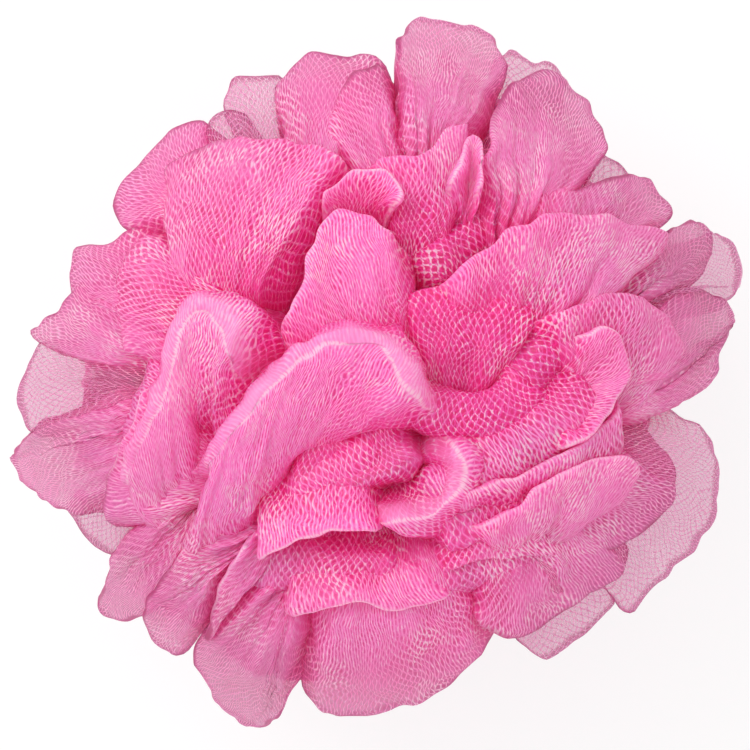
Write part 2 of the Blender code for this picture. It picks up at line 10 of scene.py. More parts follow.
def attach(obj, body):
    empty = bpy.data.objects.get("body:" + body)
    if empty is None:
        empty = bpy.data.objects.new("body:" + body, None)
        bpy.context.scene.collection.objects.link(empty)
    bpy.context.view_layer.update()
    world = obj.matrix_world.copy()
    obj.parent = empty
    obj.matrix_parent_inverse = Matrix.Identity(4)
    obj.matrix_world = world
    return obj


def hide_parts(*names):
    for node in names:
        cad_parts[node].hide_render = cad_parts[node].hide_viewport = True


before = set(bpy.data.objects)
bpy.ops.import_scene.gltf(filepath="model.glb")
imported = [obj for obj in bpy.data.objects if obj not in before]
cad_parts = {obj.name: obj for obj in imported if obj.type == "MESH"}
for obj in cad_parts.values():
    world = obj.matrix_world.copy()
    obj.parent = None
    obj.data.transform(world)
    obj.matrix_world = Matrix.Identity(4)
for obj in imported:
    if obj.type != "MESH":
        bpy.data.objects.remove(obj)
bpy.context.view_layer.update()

scene = bpy.context.scene

# The camera looks straight down on the ball. The picture is 150 mm wide at the ball's waist, and its middle
# is a hair off the middle of the ball, because the ruffles spread unevenly.
CORE_HEIGHT = 0.052
PICTURE_MIDDLE = Vector((-0.0005, -0.0003, 0))
PICTURE_WIDTH = 0.150
CAMERA_ABOVE = 1.6
SENSOR_WIDTH = 36
lens = bpy.data.cameras.new("camera")
lens.sensor_width = SENSOR_WIDTH
lens.lens = SENSOR_WIDTH * CAMERA_ABOVE / PICTURE_WIDTH
lens.clip_end = 20
camera = bpy.data.objects.new("camera", lens)
camera.location = PICTURE_MIDDLE + Vector((0, 0, CORE_HEIGHT + CAMERA_ABOVE))
scene.collection.objects.link(camera)
scene.camera = camera
scene.view_settings.view_transform = "Standard"

# The floor is a plain white sheet that keeps the pouf's soft shadow. The camera sees it whiter than it is, so
# that no extra light falls on the pouf.
FLOOR_REACH = 3
FLOOR_GREY = 0.93
FLOOR_WHITENED = 0.72


class Value:
    """A shader socket that can be added, subtracted and multiplied like a number."""

    def __init__(self, finish, socket):
        self.finish = finish
        self.socket = socket

    def maths(self, operation, *others):
        return self.finish.node("ShaderNodeMath", {"operation": operation}, self, *others)

    def __add__(self, other):
        return self.maths("ADD", other)

    __radd__ = __add__

    def __sub__(self, other):
        return self.maths("SUBTRACT", other)

    def __rsub__(self, other):
        return self.finish.node("ShaderNodeMath", {"operation": "SUBTRACT"}, other, self)

    def __mul__(self, other):
        return self.maths("MULTIPLY", other)

    __rmul__ = __mul__

    def out(self, name):
        """Another output of the same node."""
        return Value(self.finish, self.socket.node.outputs[name])


class Finish:
    """A material and its nodes."""

    def __init__(self, name):
        self.material = bpy.data.materials.new(name)
        self.material.use_nodes = True
        self.tree = self.material.node_tree
        self.tree.nodes.clear()

    def node(self, kind, settings, *values, **named):
        """A node with its settings, and what its sockets get: the first ones in order, others by name."""
        made = self.tree.nodes.new(kind)
        for setting, value in settings.items():
            setattr(made, setting, value)
        by_name = ((name.replace("_", " "), value) for name, value in named.items())
        for place, value in (*enumerate(values), *by_name):
            socket = made.inputs[place]
            if isinstance(value, Value):
                self.tree.links.new(value.socket, socket)
            else:
                socket.default_value = value
        return Value(self, made.outputs[0])

    def ease(self, value, start, end, first=0.0, last=1.0):
        """first until value reaches start, last past end, and smooth between them."""
        smooth = {"interpolation_type": "SMOOTHSTEP"}
        return self.node("ShaderNodeMapRange", smooth, value, start, end, first, last)

    def blend(self, share, first, second):
        """The colour first where share is 0, second where it is 1."""
        mixed = self.node("ShaderNodeMix", {"data_type": "RGBA"}, share)
        for place, colour in ((6, first), (7, second)):
            socket = mixed.socket.node.inputs[place]
            if isinstance(colour, Value):
                self.tree.links.new(colour.socket, socket)
            else:
                socket.default_value = (*colour, 1)
        return Value(self, mixed.socket.node.outputs[2])

    def wear(self, shader):
        """The finished material, with the shader on its surface."""
        output = self.tree.nodes.new("ShaderNodeOutputMaterial")
        self.tree.links.new(shader.socket, output.inputs["Surface"])
        return self.material


paper = Finish("floor")
floor_colour = (FLOOR_GREY, FLOOR_GREY, FLOOR_GREY, 1)
lit = paper.node("ShaderNodeBsdfPrincipled", {}, Base_Color=floor_colour, Roughness=0.9)
blank = paper.node("ShaderNodeEmission", {}, (1, 1, 1, 1), 1.0)
seen = paper.node("ShaderNodeLightPath", {})
floor_mesh = bpy.data.meshes.new("floor")
floor_corners = [(x * FLOOR_REACH, y * FLOOR_REACH, 0) for x, y in ((-1, -1), (1, -1), (1, 1), (-1, 1))]
floor_mesh.from_pydata(floor_corners, [], [(0, 1, 2, 3)])
whitened = paper.node("ShaderNodeMixShader", {}, seen * FLOOR_WHITENED, lit, blank)
floor_mesh.materials.append(paper.wear(whitened))
floor = bpy.data.objects.new("floor", floor_mesh)
scene.collection.objects.link(floor)

# The light comes evenly from all round, and from one wide lamp above and to the left. It bounces often
# between the ruffles, which deepens the pink of their folds.
ROOM_STRENGTH = 1.05
BOUNCES = 6
LAMP_SIZE = 0.5
LAMP_ENERGY = 4.0
LAMP_PLACE = (-0.45, 0.42, 0.85)
LAMP_AIM = (0, 0, 0.05)
room = bpy.data.worlds.new("room")
scene.world = room
room.use_nodes = True
room.node_tree.nodes["Background"].inputs["Color"].default_value = (1, 1, 1, 1)
room.node_tree.nodes["Background"].inputs["Strength"].default_value = ROOM_STRENGTH
scene.cycles.diffuse_bounces = BOUNCES
key = bpy.data.lights.new("key", "AREA")
key.size = LAMP_SIZE
key.energy = LAMP_ENERGY
key_lamp = bpy.data.objects.new("key", key)
key_lamp.location = LAMP_PLACE
key_lamp.rotation_euler = (-key_lamp.location + Vector(LAMP_AIM)).to_track_quat("-Z", "Y").to_euler()
scene.collection.objects.link(key_lamp)

# The netting is a long tube of extruded plastic net, flattened, gathered on a line and pulled up into
# ruffles. Each ruffle is a fold of the tube: two walls that meet in a round crest and run down to the tight
# gathers. The first ones are those in the middle of the picture, most of them raised, with crests painted
# pale as a painted highlight.
MM = 0.001
DRAWN_RADIUS = 73.5
BALL_RISE = 0.058
FULLNESS = 4.5  # everything stands this many mm higher than it is drawn
FOLD_HALF = 0.0006
PALE_FOLD_EXTRA = 0.0005
FOLD_DEPTH = 0.0018
TUBE_PUFF = 0.0065
ENDS_OPEN = 1.9  # at its two ends a fold closes and dives under its neighbours
END_DIVE = 0.006
END_TUCK = 0.014
ROOT_SHARE = 0.16  # the gathers lie at this share of the way out from the core
ROW_CROWDING = 1.8
DEEP_SHARE = 0.8
DEEP_WITHIN = 24
SHALLOW_SHARE = 0.13
SHALLOW_PAST = 44
PLEAT_BROAD = (0.0120, 0.0018)  # how far apart these pleats stand along the rim, and how high
PLEAT_SHARP = (0.0054, 0.0012)
PLEAT_FINE = (0.0024, 0.0005)
RIM_WAVE_SHARE = 0.28
CRUMPLE = 0.0011
CRUMPLE_SIZE = 0.0050
CRUMPLE_SEED = 5
STRAND_PITCH = 0.00150  # of a pair of strands
OPENING_LENGTH = 0.0024
DRIFT_SIZE = (0.006, 0.009)
STEADY_RIM = 0.003
PALE_PATCH = 0.011
CLEAR_PATCH = 0.014
VIVID_PATCH = 0.016
VIVID_DEPTH = 0.007
THIN_FROM = 0.036  # from here outwards the netting looks thinner, until it is one or two layers thick
THIN_WITHIN = 0.034
LOWEST_POINT = 0.0008
ROOM_RADIUS = 0.0133  # the ruffles leave this parting free round the tie
ROOM_TOP = 0.0395
COLUMN_STEP = 0.0010
ROWS = 26
THIN_BELOW = -3
noise.seed_set(CRUMPLE_SEED)


def core():
    return Vector((0, 0, CORE_HEIGHT))


def on_ball(x, y, above):
    """The point over x, y (mm, as drawn) that lies above mm higher than the top of the ball."""
    inward = max(0.0, 1 - (x * x + y * y) / DRAWN_RADIUS**2)
    height = CORE_HEIGHT + BALL_RISE * math.sqrt(inward) + (above + FULLNESS) * MM
    return PICTURE_MIDDLE + Vector((x * MM, y * MM, height))


def wall_share(x, y):
    """The share of its dip that a wall keeps over x, y (mm): the sides of the ball are packed tighter."""
    past = (math.hypot(x, y) - DEEP_WITHIN) / (SHALLOW_PAST - DEEP_WITHIN)
    return DEEP_SHARE + (SHALLOW_SHARE - DEEP_SHARE) * min(1.0, max(0.0, past))


def smooth_curve(points, count):
    """count points, evenly spread along a smooth curve through the given ones."""
    ends = [points[0] * 2 - points[1], *points, points[-1] * 2 - points[-2]]
    dense = []
    for before, start, end, after in zip(ends, ends[1:], ends[2:], ends[3:]):
        for step in range(8):
            t = step / 8
            dense.append((
                start * 2 + (end - before) * t + (before * 2 - start * 5 + end * 4 - after) * t**2
                + (start * 3 - before - end * 3 + after) * t**3
            ) / 2)
    dense.append(points[-1].copy())
    reach = [0.0]
    for start, end in zip(dense, dense[1:]):
        reach.append(reach[-1] + (end - start).length)
    spread = []
    place = 0
    for step in range(count):
        wanted = reach[-1] * step / (count - 1)
        while place < len(reach) - 2 and reach[place + 1] < wanted:
            place += 1
        share = (wanted - reach[place]) / (reach[place + 1] - reach[place])
        spread.append(dense[place].lerp(dense[place + 1], share))
    return spread


def pleats(along, down, seed):
    """How far the wall stands out of its smooth shape: pleats that run from the rim to the gathers."""
    broad, broad_height = PLEAT_BROAD
    sharp, sharp_height = PLEAT_SHARP
    fine, fine_height = PLEAT_FINE
    grown = RIM_WAVE_SHARE + (1 - RIM_WAVE_SHARE) * min(1.0, down * 3.5)
    lean = down * 0.6
    crease = abs(noise.noise(Vector((along / sharp + lean, down * 1.6, seed * 5.7 + 20))))
    return grown * (
        broad_height * noise.noise(Vector((along / broad + lean, down * 1.4, seed * 7.3)))
        + sharp_height * (0.5 - 2 * crease)
        + fine_height * noise.noise(Vector((along / fine + lean * 2, down * 2.6, seed * 3.1 + 50)))
    )


def wall_curve(edge, through, root, turned_back):
    """The curve of a wall, from 0 at the rim to 1 at the gathers: it falls straight from the rim, or first
    goes out over a lip that is turned back."""
    near = (through - edge).length
    turn = min(0.5, max(0.1, near / (near + (root - through).length)))
    control = (through - edge * (1 - turn) ** 2 - root * turn**2) / (2 * turn * (1 - turn))
    corner = Vector((through.x, through.y, edge.z))

    def point(t):
        if not turned_back:
            return edge * (1 - t) ** 2 + control * 2 * t * (1 - t) + root * t**2
        if t < turn:
            over = t / turn
            return edge * (1 - over) ** 2 + corner * 2 * over * (1 - over) + through * over**2
        return through.lerp(root, (t - turn) / (1 - turn))

    return point


def ruffle_sheet(rim, middle, paleness, thinness, seed, step, rows, half=FOLD_HALF, behind=None):
    """One fold of the tube: rows of points from the outer wall's gathers, over the rim, to the inner wall's.

    The inner wall follows the outer one closely, unless behind gives the points halfway down it. Each point
    comes with its place in the net, in strands and openings, and with four looks: how pale the crest is
    painted (a painted highlight), how thin the netting looks, how clearly its strands show, and how vivid it
    is, which is partly random patches and partly painted shade that deepens the pink down in the folds and
    on the backs of walls."""
    length = sum((end - start).length for start, end in zip(rim, rim[1:]))
    count = max(8, round(length / step) + 1)
    rim = smooth_curve(rim, count)
    middle = smooth_curve(middle, count)
    behind = behind and smooth_curve(behind, count)
    columns = []
    for place, (edge, halfway) in enumerate(zip(rim, middle)):
        share = place / (count - 1)
        opened = min(1.0, math.sin(math.pi * share) * ENDS_OPEN)
        tucked = (1 - opened) ** 1.5
        edge = edge - Vector((0, 0, END_DIVE * (1 - opened)))
        edge += (core() - edge).normalized() * END_TUCK * tucked
        halfway = halfway + (core() - halfway).normalized() * END_TUCK * 0.5 * tucked
        inner_halfway = halfway + (core() - halfway).normalized() * TUBE_PUFF * (0.4 + 0.6 * opened)
        if behind:
            back = behind[place]
            inner_halfway = back + (core() - back).normalized() * END_TUCK * 0.5 * tucked
        along = rim[min(place + 1, count - 1)] - rim[max(place - 1, 0)]
        reach = share * length
        pale = paleness * (0.75 + 0.6 * noise.noise(Vector((reach / PALE_PATCH, seed * 5.1, 9)))) * opened
        walls = []
        for side, through in ((1, halfway), (-1, inner_halfway)):
            out = along.cross(through - edge).normalized()
            if out.dot(through - core()) < 0:
                out.negate()
            lean = out if behind else out * side
            root = core() + (through - core()) * ROOT_SHARE
            showing_back = behind and side < 0
            curve = wall_curve(edge, through, root, showing_back and paleness >= 1)
            line = []
            down = 0.0
            before = edge
            for row in range(rows):
                t = (row / (rows - 1)) ** ROW_CROWDING
                point = curve(t)
                rounded = min(1.0, (point - edge).length / (FOLD_DEPTH + half * 0.6))
                fold = math.sqrt(max(0.0, 1 - (1 - rounded) ** 2)) * opened**0.5
                spot = point + lean * (fold * (half + PALE_FOLD_EXTRA * max(0.0, pale)))
                down += (spot - before).length
                before = spot
                away = min(1.0, max(0.0, (point.xy.length - THIN_FROM) / THIN_WITHIN))
                wave = pleats(reach, t, seed + (0 if side > 0 else 0.37 * min(1.0, t * 4)))
                spot = spot + out * (wave * (1 - 0.5 * away))
                spot += noise.noise_vector(spot / CRUMPLE_SIZE) * CRUMPLE
                spot.z = max(spot.z, LOWEST_POINT)
                if spot.z < ROOM_TOP and spot.xy.length < ROOM_RADIUS:
                    spot.xy *= ROOM_RADIUS / max(spot.xy.length, 0.0001)
                drift = noise.noise(Vector((reach / DRIFT_SIZE[0], side * down / DRIFT_SIZE[1], seed)))
                drift *= min(1.0, down / STEADY_RIM)
                patch = Vector((reach / CLEAR_PATCH, down / CLEAR_PATCH, seed + 30))
                clearness = 0.85 - 0.30 * away + 1.0 * noise.noise(patch)
                # vivid deepens the pink as painted shade: it grows with depth below the ball, on the backs of
                # walls and where paleness is negative. Its noise patches add random tone.
                sunk = (on_ball(spot.x / MM, spot.y / MM, 0).z - spot.z) / VIVID_DEPTH
                patch = spot / VIVID_PATCH + Vector((3.3, 7.7, seed * 0.2))
                vivid = 0.42 + sunk + 0.8 * noise.noise(patch)
                vivid += max(0.0, -paleness) + (0.6 if showing_back and paleness < 1 else 0.0)
                line.append((
                    spot,
                    (reach / STRAND_PITCH + drift * 0.8, side * down / OPENING_LENGTH + drift * 0.5),
                    (max(0.0, pale), away + thinness,
                     min(1.0, max(0.0, clearness)), min(1.0, max(0.0, vivid))),
                ))
            walls.append(line)
        columns.append([*reversed(walls[0]), *walls[1][1:]])
    return columns


def netting_piece(name, sheets, finish):
    """Makes one object of several folds of the netting, and gives it its place in the model."""
    points, faces, spots, looks = [], [], [], []
    for columns in sheets:
        tall = len(columns[0])
        start = len(points)
        for column in columns:
            for point, spot, look in column:
                points.append(point)
                spots.append(spot)
                looks.extend(look)
        for column in range(len(columns) - 1):
            for row in range(tall - 1):
                corner = start + column * tall + row
                faces.append((corner, corner + 1, corner + tall + 1, corner + tall))
    mesh = bpy.data.meshes.new(name)
    mesh.from_pydata(points, [], faces)
    laid = mesh.uv_layers.new(name="strands and openings")
    laid.data.foreach_set("uv", [part for face in faces for corner in face for part in spots[corner]])
    mesh.color_attributes.new("net", "FLOAT_COLOR", "POINT").data.foreach_set("color", looks)
    mesh.polygons.foreach_set("use_smooth", [True] * len(faces))
    mesh.materials.append(finish)
    mesh.update()
    piece = bpy.data.objects.new(name, mesh)
    scene.collection.objects.link(piece)
    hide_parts("netting")
    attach(piece, "root")
    return piece


# The net's colours: as it is, in the deep folds, where the deeper, darker pink is painted shade, and far out
# where it is thin.
FILM_PINKS = ((1.0, 0.19, 0.65), (1.0, 0.035, 0.38), (0.83, 0.26, 0.57))
# The threads are paler than the pink between them: partly the plastic's own colour, partly painted sheen.
THREAD_PINKS = ((1.0, 0.54, 0.93), (1.0, 0.30, 0.76), (0.90, 0.46, 0.73))
# The slits are painted dark: painted shade of the layers seen through the openings.
SLIT_SHADE_PINKS = ((0.78, 0.025, 0.26), (0.76, 0.006, 0.16), (0.48, 0.08, 0.25))
GLINT_PINK = (1.0, 0.86, 0.98)
# Painted highlight: the pale band beside each pale crest.
CREST_BAND_HIGHLIGHT_PINK = (1.0, 0.46, 0.84)
# Painted highlight: the pale line along each crest.
CREST_HIGHLIGHT_PINK = (1.0, 0.80, 0.96)
# Painted shade: the outer rims are painted dark against the white.
PAINTED_RIM_SHADE = (0.27, 0.04, 0.14)
GLOW_PINK = (1.0, 0.24, 0.60)
CLEAR_TINT = (0.89, 0.80, 0.84)


def off_strand(across, down, opened):
    """How far the point is from the nearest strand: neighbours sway apart and together in an open net."""
    sway = (down * math.tau).maths("COSINE") * opened
    return (across + sway + 0.25).maths("FRACT").maths("SUBTRACT", 0.5).maths("ABSOLUTE").maths(
        "MINIMUM", (across - sway + 0.75).maths("FRACT").maths("SUBTRACT", 0.5).maths("ABSOLUTE")
    )


def netting_finish(name, see_through):
    """The net's threads are painted paler than the threads behind them, partly their own paler plastic and
    partly painted sheen, and carry small painted glints.

    The outer ruffles are one or two layers thick: the white shows through, and their rims are painted dark on
    it as painted shade."""
    pink = Finish(name)
    laid = pink.node("ShaderNodeUVMap", {"uv_map": "strands and openings"})
    place = pink.node("ShaderNodeSeparateXYZ", {}, laid)
    reading = pink.node("ShaderNodeAttribute", {"attribute_name": "net"})
    look = pink.node("ShaderNodeSeparateColor", {}, reading)
    pale, away, clearness = look.out("Red"), look.out("Green"), look.out("Blue")
    vivid = reading.out("Alpha")

    # Each pink deepens with vivid (painted shade in the folds, and random patches) and turns greyer far out
    # where the netting is thin.
    def tint(pinks):
        return pink.blend(away, pink.blend(vivid, pinks[0], pinks[1]), pinks[2])

    dashes = pink.node("ShaderNodeVectorMath", {"operation": "MULTIPLY"}, laid, (4.2, 1.9, 1.0))
    grain = pink.node("ShaderNodeTexNoise", {"noise_dimensions": "2D"}, Vector=dashes, Scale=1.0, Detail=1.0)
    body = pink.node("ShaderNodeTexCoord", {}).out("Object")
    patches = pink.node("ShaderNodeTexNoise", {}, Vector=body, Scale=75.0, Detail=2.0)
    across = place.out("X") + grain * 0.16
    down = place.out("Y") + grain * 0.25
    nearest = off_strand(across, down, vivid * 0.19 + 0.03)
    behind = off_strand(across * 0.84 + down * 0.6 + 0.3, down * 1.17 - across * 0.08, 0.15)
    thread = pink.ease(nearest, 0.02, 0.12, 1.0, 0.0)
    # The openings between the threads are painted dark, as painted shade.
    slit_shade = pink.ease(nearest, 0.12, 0.20) * pink.ease(behind, 0.04, 0.12)
    frost = pink.ease(grain, 0.32, 0.68)
    glint = pink.ease(grain, 0.53, 0.64) * thread * (clearness * 0.50 + 0.45)
    near_strand = pink.ease(nearest, 0.08, 0.20, 1.0, 0.0)
    sparkle = pink.ease(patches, 0.50, 0.60) * pink.ease(grain, 0.46, 0.56) * near_strand
    off_rim = place.out("Y").maths("ABSOLUTE")
    # Painted highlights: a pale band on the inner side of each pale crest, and a pale line along the crest
    # itself.
    crest_band_highlight = pink.ease(place.out("Y"), -3.2, -1.2) * pink.ease(place.out("Y"), 0.1, 0.40, 1.0, 0.0) * pale
    crest = pink.ease(off_rim, 0.04, 0.22, 1.0, 0.0) * pink.ease(pale, 0.2, 0.7) * pink.ease(grain, 0.36, 0.52)
    thread_colour = tint(THREAD_PINKS)
    colour = pink.blend(frost * (0.45 - clearness * 0.2), tint(FILM_PINKS), thread_colour)
    colour = pink.blend(slit_shade * (clearness * 0.75 + 0.20), colour, tint(SLIT_SHADE_PINKS))
    # Partly painted sheen: the threads are laid over in their paler pink.
    colour = pink.blend(thread * (clearness * 0.55 + 0.30), colour, thread_colour)
    colour = pink.blend(glint.maths("MAXIMUM", sparkle * 0.9), colour, GLINT_PINK)
    colour = pink.blend(crest_band_highlight * 0.75, colour, CREST_BAND_HIGHLIGHT_PINK)
    colour = pink.blend(crest, colour, CREST_HIGHLIGHT_PINK)
    if see_through:
        # Painted shade: the outer rims are darkened where they stand against the white.
        edge = pink.ease(off_rim, 0.15, 0.75, 1.0, 0.0) * pink.ease(away, 0.40, 0.72) * 0.95
        colour = pink.blend(edge, colour, PAINTED_RIM_SHADE)
    plastic = pink.node("ShaderNodeBsdfPrincipled", {}, Base_Color=colour, Roughness=0.42)
    glow = pink.node("ShaderNodeBsdfTranslucent", {}, (*GLOW_PINK, 1))
    sheer = pink.node("ShaderNodeMixShader", {}, 0.45, plastic, glow)
    if not see_through:
        return pink.wear(sheer)
    clear = pink.node("ShaderNodeBsdfTransparent", {}, (*CLEAR_TINT, 1))
    film = pink.ease(away, 0.40, 1.0, 1.0, 0.40) - pink.ease(away, 1.0, 1.8, 0.0, 0.30)
    solid = thread.maths("MAXIMUM", crest).maths("MAXIMUM", edge)
    return pink.wear(pink.node("ShaderNodeMixShader", {}, film + solid * (1 - film) * 0.75, clear, sheer))


sheer_netting = netting_finish("outer netting", True)
dense_netting = netting_finish("inner netting", False)


def ruffle_group(name, ruffles, finish):
    """One object of several ruffles. Each is given by a name, how far its rim stands above the ball and its
    wall dips below it (mm), how pale its crest is painted as a painted highlight, the points of its rim, and
    those halfway down its wall.

    Where the back of its other wall shows, that wall's points follow, each with its height above the ball.
    The lowest of the outer ruffles are a single layer."""
    sheets = []
    for seed, (_, lift, dip, paleness, rim, middle, *behind) in enumerate(ruffles):
        single = lift <= THIN_BELOW and finish is sheer_netting
        sheets.append(ruffle_sheet(
            [on_ball(x, y, lift) for x, y in rim],
            [on_ball(x, y, -dip * wall_share(x, y)) for x, y in middle],
            paleness, 0.8 if single else 0.0, seed + len(name), COLUMN_STEP, ROWS,
            behind=[on_ball(*spot) for spot in behind[0]] if behind else None,
        ))
    netting_piece(name, sheets, finish)


MIDDLE_RUFFLES = (
    ("left_arch", 4, 9, 1.0,
     ((-49.5, -31), (-49.2, -23), (-45.8, -15), (-41.5, -6), (-39.2, 1), (-37.6, 7.5), (-35.2, 11.8),
      (-32, 12.2), (-29.8, 9.5), (-28.6, 5), (-27.6, 0.5), (-24.5, -0.8), (-21, -4)),
     ((-45, -36), (-41, -27), (-38, -19), (-35.5, -12), (-33.5, -8), (-31, -9), (-28, -13), (-25, -17)),
     ((-51, -31, -6), (-48, -15.5, -6), (-41, 3, -5), (-37, 14, -4), (-31, 15.8, -3), (-23, 13, -1),
      (-18.5, 7, -1), (-18, 1, -2))),
    ("middle_crest", 6, 8, 1.0,
     ((-36, -27), (-33, -19), (-28, -12), (-21, -4), (-17, 0.5), (-13.6, 3.8), (-7, 6.2), (-0.4, 6.2),
      (3, 2.6), (6.2, -2), (9, -5.5), (12.4, -8.6), (15, -14)),
     ((-43, -40), (-34, -34), (-25, -27), (-15, -17), (-5, -12), (4, -14)),
     ((-37.5, -26, -8), (-34, -18, -7), (-22.5, -2.5, -7), (-14.8, 5, -7), (-7, 8.6, -7), (1.5, 9, -7),
      (6.5, 4.5, -6), (10, -1, -5), (17, -9, -3))),
    ("middle_column", 3, 7, 0.45,
     ((-21, 3), (-17, 12), (-14, 19), (-12, 26), (-9, 30.5), (-5.5, 32.3), (-2, 31), (1, 29), (5, 27),
      (11, 24.5)),
     ((-18, -2), (-10, 1), (-2, 3), (5, 6), (9, 13))),
    ("small_pocket", 3, 16, 0.8,
     ((-12, 30), (-10, 35), (-6, 38.8), (-1, 39.8), (3, 38.8), (5, 36.5), (3.5, 33), (0.5, 30)),
     ((-9, 27), (-4, 27), (1, 27))),
    ("upper_middle", 2, 10, 0.2,
     ((-5, 40), (0, 41.6), (5, 42.2), (9, 42.6), (12, 45), (15, 48), (19, 48.8), (22.5, 47.5)),
     ((1, 30), (6, 28), (12, 27), (17, 30))),
    ("narrow_loop", 4, 14, 0.8,
     ((14.5, 33), (16, 40), (17, 44), (18.6, 46.3), (20.2, 45), (21, 42), (20.3, 37), (19, 31)),
     ((15, 30), (17, 28), (19, 28))),
    ("middle_fold", -3, 14, 0.3,
     ((-22, -25), (-14, -23.3), (-7, -21.5), (0, -19.5), (6, -17.5), (11, -15.5), (14, -13.5)),
     ((-18, -28), (-8, -26), (0, -23), (8, -20)),
     ((-18, -19, -2), (-10, -14, -4), (-1, -10, -5), (7, -10, -3))),
    ("bowl_face", -4.5, 7, -0.8,
     ((0, 12), (7, 16), (14, 17), (22, 15.5), (30, 13), (37, 9)),
     ((6, 5), (14, 3), (22, 2), (30, 3))),
    ("right_wing", 2, 9, 0.35,
     ((8, 11), (13, 17.5), (18, 22), (23, 25.8), (28, 29), (33, 30.8), (38, 31.5), (44, 31), (50, 29.8),
      (55, 28), (58, 27), (58, 23.5), (56, 18)),
     ((12, 6), (21, 10), (31, 12), (41, 14), (49, 15))),
    ("right_curl", 3, 13, 0.7,
     ((37, 1), (40, 6.5), (43, 9.2), (46.5, 9), (49, 5.3), (49.4, 0.5), (47.5, -4.5), (44, -9), (38, -13.5),
      (30, -17.5)),
     ((35, -3), (38, 1), (41, -2), (38, -7), (30, -12))),
    ("right_band", 1, 10, 0.35,
     ((28, 8), (33, 11.6), (39, 14.2), (45, 15.9), (50, 15.8), (55, 13.5), (58.5, 9.5), (60.5, 4), (60, -3)),
     ((32, 4), (40, 4), (47, 2), (52, -3), (53, -9))),
    ("curled_lip", 2.5, 9, 0.9,
     ((11, -10.5), (15.5, -14), (17.6, -17.5), (17.3, -20.7), (15, -24), (11, -26.6), (5, -28.3), (-4, -29.5)),
     ((17, -9), (22, -17), (19, -25), (12, -30), (3, -32)),
     ((9, -14, -5), (9.5, -18, -9), (8, -20.5, -10), (5, -22.5, -10), (-1, -25, -8))),
    ("second_lip", 3, 9, 0.7,
     ((-26, -39), (-20, -34.5), (-15, -31.8), (-10, -30.3), (-5, -30), (-1, -30.2), (5, -31.5)),
     ((-24, -24), (-16, -19), (-8, -17), (2, -21))),
    ("long_fold", 2, 10, 0.5,
     ((6, -27.5), (15, -24), (22, -21), (30, -18.3), (38, -14), (45, -9), (49, -4), (51, 2)),
     ((10, -31), (20, -27), (31, -24), (42, -19), (52, -13))),
    ("striped_fold", 3, 10, 0.55,
     ((12, -34), (22, -28), (30, -23.5), (37, -19), (43, -16), (48, -15.5), (51.5, -18), (51, -23), (48, -29)),
     ((20, -36), (30, -33), (38, -31), (42, -31))),
)
ruffle_group("ruffles_middle", MIDDLE_RUFFLES, dense_netting)

# The upper ruffles stand like petals round the top of the picture. They are folds of the same tube, and thin
# enough towards their rims for the white to show through.
UPPER_RUFFLES = (
    ("top", 0, 12, 0.3,
     ((4.6, 58), (4.8, 66), (6.5, 69.5), (9.5, 70.6), (13, 69.9), (16, 68.8), (19, 69.1), (22, 68.1),
      (24.3, 65), (25.5, 60), (24, 53)),
     ((3, 46), (8, 45), (15, 47), (20, 48))),
    ("top_left_round", 0, 11, 0.25,
     ((-9.5, 43), (-8.8, 50), (-7, 55), (-3, 59.3), (1, 60.7), (6, 60)),
     ((-6, 40), (0, 41), (6, 43))),
    ("top_left_outer", -2, 14, 0.1,
     ((-21, 51), (-17.5, 58.7), (-13, 62.8), (-8, 62.8), (-3, 63.1), (1, 62), (6, 64)),
     ((-20, 44), (-12, 44), (-4, 46))),
    ("top_left_corner", -4, 16, 0.1,
     ((-28.5, 48), (-29.2, 54), (-28, 57.3), (-24, 58.8), (-20, 58.9), (-14, 58)),
     ((-26, 42), (-18, 42))),
    ("shoulder_tab", -3, 14, 0.1,
     ((-34, 45), (-31.8, 50.3), (-29, 51.9), (-23, 51)),
     ((-30, 40), (-24, 41))),
    ("long_shoulder", 0.5, 7, 0.25,
     ((-46, 33), (-42, 39), (-36, 43.5), (-28, 46), (-20, 45.8), (-12, 44.8), (-8, 42.5), (-5.3, 39.5),
      (-7, 34)),
     ((-42, 22), (-34, 18), (-26, 16), (-17, 20))),
    ("upper_left_outer", -2, 12, 0.1,
     ((-45, 25), (-49.5, 28.5), (-51.3, 33), (-50, 36.5), (-46.5, 41), (-42.5, 45.5), (-38, 48.5),
      (-33, 49.8), (-28, 47)),
     ((-41, 28), (-37, 35), (-31, 39))),
    ("right_upper", 0, 12, 0.3,
     ((26, 29), (29, 34.5), (33, 36), (39, 36.3), (44, 38), (49, 39.5), (53, 38.7), (56.4, 36), (58, 32.8),
      (57, 29.5), (53, 27)),
     ((28, 26), (36, 27), (44, 26), (50, 26))),
    ("upper_right_oval", 2, 10, 0.3,
     ((19, 29), (21, 38), (22.5, 46), (24, 52), (27, 57), (31, 59.5), (35, 59.2), (39, 56.7), (42, 53.2),
      (44.5, 48), (45.2, 44), (44, 40), (39, 36)),
     ((20, 26), (27, 32), (34, 33), (40, 33))),
    ("upper_right_back", -4, 15, 0.1,
     ((23, 60), (26, 64.2), (30, 63), (31.5, 61.7), (34, 62), (36, 60.2), (37.4, 57.5), (40, 53)),
     ((24, 50), (31, 50), (36, 46))),
    ("right_notch", -3, 14, 0.1,
     ((42, 45), (46, 42.3), (49, 40.3), (53, 37)),
     ((39, 36), (44, 33))),
)
ruffle_group("ruffles_upper", UPPER_RUFFLES, sheer_netting)

